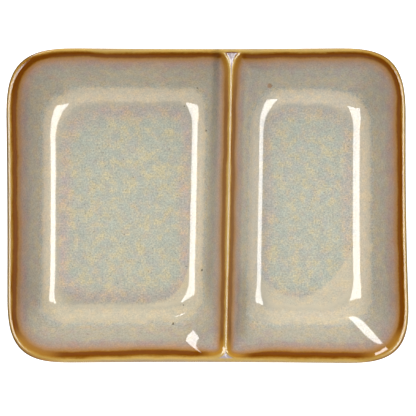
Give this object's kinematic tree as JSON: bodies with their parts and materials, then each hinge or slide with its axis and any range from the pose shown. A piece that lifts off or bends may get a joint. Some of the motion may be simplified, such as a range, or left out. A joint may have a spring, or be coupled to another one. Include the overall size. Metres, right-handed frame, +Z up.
{
  "type": "two-compartment condiment dish",
  "caption": "Low rectangular stoneware dish with a large and a small sloping well side by side, divided by a narrow ridge, on a bare foot ring.",
  "frame": {"origin": "on the table, under the middle of the dish's outline", "axes": "+X along the length towards the small well, +Y across towards the far long side, +Z up"},
  "size_m": [0.1248, 0.0977, 0.022],
  "materials": {
    "bare_stoneware": "matt fired clay",
    "well_glaze": "glossy reactive glaze, pale grey-cream with fine blue-grey and ochre mottling, pinkish at the floor's edges",
    "rim_glaze": "glossy, thin, broken to golden brown",
    "outside_glaze": "glossy reactive glaze, brown at the rim and above the foot",
    "underside_glaze": "glossy, thin"
  },
  "bodies": {
    "root": {"stoneware_body": "bare_stoneware", "large_well_glaze": "well_glaze", "small_well_glaze": "well_glaze", "rim_glaze": "rim_glaze", "outer_wall_glaze": "outside_glaze", "underside_glaze": "underside_glaze"}
  },
  "joints": []
}
